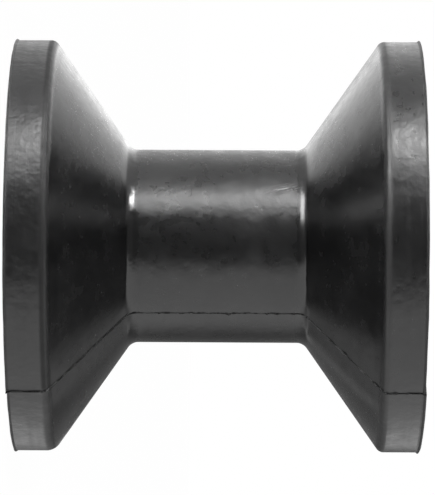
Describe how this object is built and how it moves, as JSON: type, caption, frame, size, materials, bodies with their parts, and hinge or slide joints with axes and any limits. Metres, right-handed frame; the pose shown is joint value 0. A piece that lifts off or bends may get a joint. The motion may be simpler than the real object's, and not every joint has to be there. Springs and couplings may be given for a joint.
{
  "type": "boat trailer roller",
  "caption": "Spool-shaped bow roller moulded in one piece of black rubber, with flat rims, conical flanks, a narrow core and a through bore for a pin.",
  "frame": {"origin": "on the roller's axis, at half its length", "axes": "+Z along the axis, upwards as the roller stands on its end; the mould's parting plane is XZ"},
  "size_m": [0.0772, 0.0768, 0.0748],
  "materials": {
    "rubber": "moulded, satin"
  },
  "bodies": {
    "root": {"roller": "rubber"}
  },
  "joints": []
}
